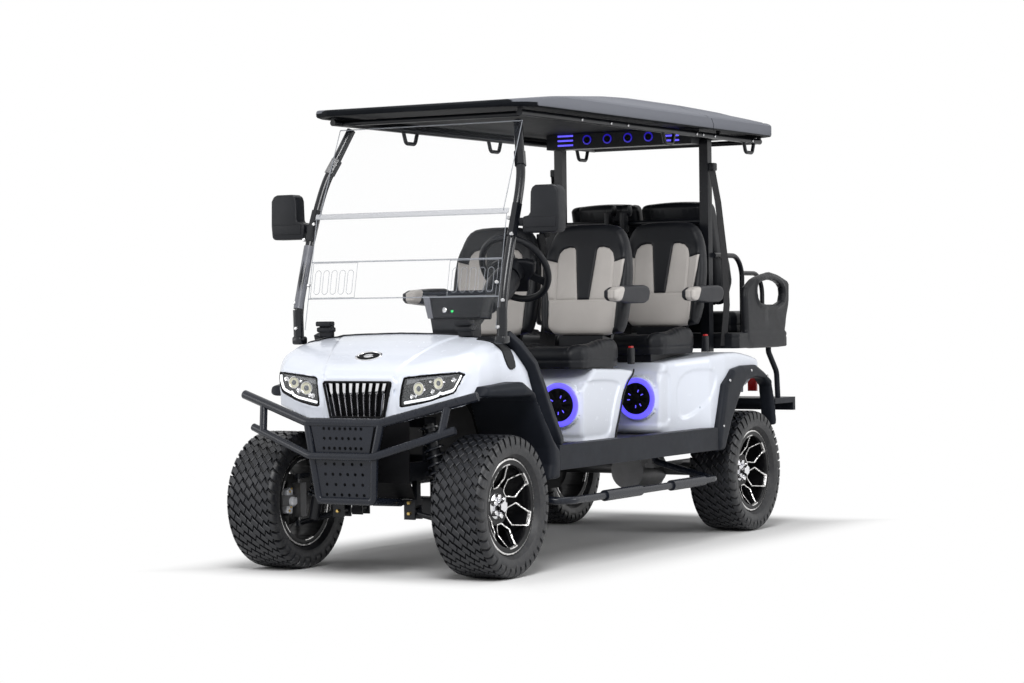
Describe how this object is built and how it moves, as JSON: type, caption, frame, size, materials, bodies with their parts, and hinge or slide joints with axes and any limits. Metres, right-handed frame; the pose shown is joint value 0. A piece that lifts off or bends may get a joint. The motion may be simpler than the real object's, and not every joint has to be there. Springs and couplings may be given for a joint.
{
  "type": "golf cart",
  "caption": "Lifted golf cart with two forward seat rows, a rear-facing bench, tube bumper, roof on struts and posts, side steps and all-terrain wheels",
  "frame": {"origin": "ground under the middle of the cart's length, on the centreline", "axes": "front faces -Y, left side +X, up +Z"},
  "size_m": [1.444, 3.48, 2.062],
  "materials": {
    "body_white": "high gloss white",
    "black_moulding": "fine-grained black moulding",
    "black_steel": "satin black powder coat",
    "roof_grey": "satin charcoal",
    "clear_pane": "clear polycarbonate",
    "chrome_trim": "chrome bars",
    "lamp_lens": "clear lens over black bezel",
    "vinyl_black": "black and light-grey vinyl",
    "tyre_rubber": "all-terrain rubber",
    "rim_metal": "black with machined edges",
    "bare_steel": "machined steel and casting",
    "speaker_black": "speaker with lit ring",
    "red_lens": "red lens"
  },
  "bodies": {
    "chassis": {"armrest_pivots": "black_steel", "battery_pack": "black_steel", "bumper_plates": "black_steel", "chassis_frame": "black_steel", "dashboard": "black_moulding", "floor_pan": "black_moulding", "front_bumper": "black_steel", "front_cowl": "body_white", "front_fascia": "black_moulding", "front_flares": "black_moulding", "front_seat_pod": "body_white", "front_suspension": "black_steel", "grille": "chrome_trim", "headlamps": "lamp_lens", "mirrors": "black_moulding", "pod_speakers": "speaker_black", "rear_axle": "black_steel", "rear_body": "body_white", "rear_flares": "black_moulding", "rear_grab_rails": "black_steel", "rear_posts": "black_steel", "rear_seat_backs": "vinyl_black", "rear_seat_base": "black_moulding", "rear_step": "black_steel", "rocker_panels": "black_moulding", "roof_canopy": "roof_grey", "roof_rails": "black_steel", "seat_backs": "vinyl_black", "seat_cushions": "vinyl_black", "seat_frames": "black_steel", "side_steps": "black_steel", "sound_bar": "black_moulding", "tail_lamps": "red_lens", "windscreen_panes": "clear_pane", "windscreen_struts": "black_steel"},
    "knuckle_left": {"knuckle_left": "bare_steel"},
    "knuckle_right": {"knuckle_right": "bare_steel"},
    "steering_wheel": {"steering_wheel": "black_moulding"},
    "rear_cushion": {"rear_seat_cushion": "vinyl_black"},
    "wheel_front_left": {"tyre_front_left": "tyre_rubber", "rim_front_left": "rim_metal"},
    "wheel_front_right": {"tyre_front_right": "tyre_rubber", "rim_front_right": "rim_metal"},
    "wheel_rear_left": {"tyre_rear_left": "tyre_rubber", "rim_rear_left": "rim_metal"},
    "wheel_rear_right": {"tyre_rear_right": "tyre_rubber", "rim_rear_right": "rim_metal"},
    "armrest_front_left": {"armrest_front_left": "vinyl_black"},
    "armrest_front_right": {"armrest_front_right": "vinyl_black"},
    "armrest_second_left": {"armrest_second_left": "vinyl_black"},
    "armrest_second_right": {"armrest_second_right": "vinyl_black"}
  },
  "joints": [
    {"name": "steer_left", "type": "hinge", "parent": "chassis", "child": "knuckle_left", "pos_m": [0.445, -1.39, 0.292], "axis": [0, 0, 1], "range_deg": [-28, 28]},
    {"name": "steer_right", "type": "hinge", "parent": "chassis", "child": "knuckle_right", "pos_m": [-0.445, -1.39, 0.292], "axis": [0, 0, 1], "range_deg": [-28, 28]},
    {"name": "steering_wheel_turn", "type": "hinge", "parent": "chassis", "child": "steering_wheel", "pos_m": [0.242, -0.717, 1.269], "axis": [0, 0.8387, 0.5446], "range_deg": [-280, 280]},
    {"name": "spin_front_left", "type": "hinge", "parent": "knuckle_left", "child": "wheel_front_left", "pos_m": [0.505, -1.39, 0.292], "axis": [1, 0, 0], "continuous": true},
    {"name": "spin_front_right", "type": "hinge", "parent": "knuckle_right", "child": "wheel_front_right", "pos_m": [-0.505, -1.39, 0.292], "axis": [1, 0, 0], "continuous": true},
    {"name": "spin_rear_left", "type": "hinge", "parent": "chassis", "child": "wheel_rear_left", "pos_m": [0.505, 0.95, 0.292], "axis": [1, 0, 0], "continuous": true},
    {"name": "spin_rear_right", "type": "hinge", "parent": "chassis", "child": "wheel_rear_right", "pos_m": [-0.505, 0.95, 0.292], "axis": [1, 0, 0], "continuous": true},
    {"name": "fold_armrest_front_left", "type": "hinge", "parent": "chassis", "child": "armrest_front_left", "pos_m": [0.529, -0.084, 1.152], "axis": [-1, 0, 0], "range_deg": [0, 85]},
    {"name": "fold_armrest_front_right", "type": "hinge", "parent": "chassis", "child": "armrest_front_right", "pos_m": [-0.529, -0.084, 1.152], "axis": [-1, 0, 0], "range_deg": [0, 85]},
    {"name": "fold_armrest_second_left", "type": "hinge", "parent": "chassis", "child": "armrest_second_left", "pos_m": [0.529, 0.691, 1.152], "axis": [-1, 0, 0], "range_deg": [0, 85]},
    {"name": "fold_armrest_second_right", "type": "hinge", "parent": "chassis", "child": "armrest_second_right", "pos_m": [-0.529, 0.691, 1.152], "axis": [-1, 0, 0], "range_deg": [0, 85]},
    {"name": "flip_rear_cushion", "type": "hinge", "parent": "chassis", "child": "rear_cushion", "pos_m": [0, 1.61, 0.97], "axis": [-1, 0, 0], "range_deg": [0, 180]}
  ],
  "couplings": [
    {"joint": "steer_right", "follows": "steer_left", "ratio": 1},
    {"joint": "steering_wheel_turn", "follows": "steer_left", "ratio": 10}
  ]
}
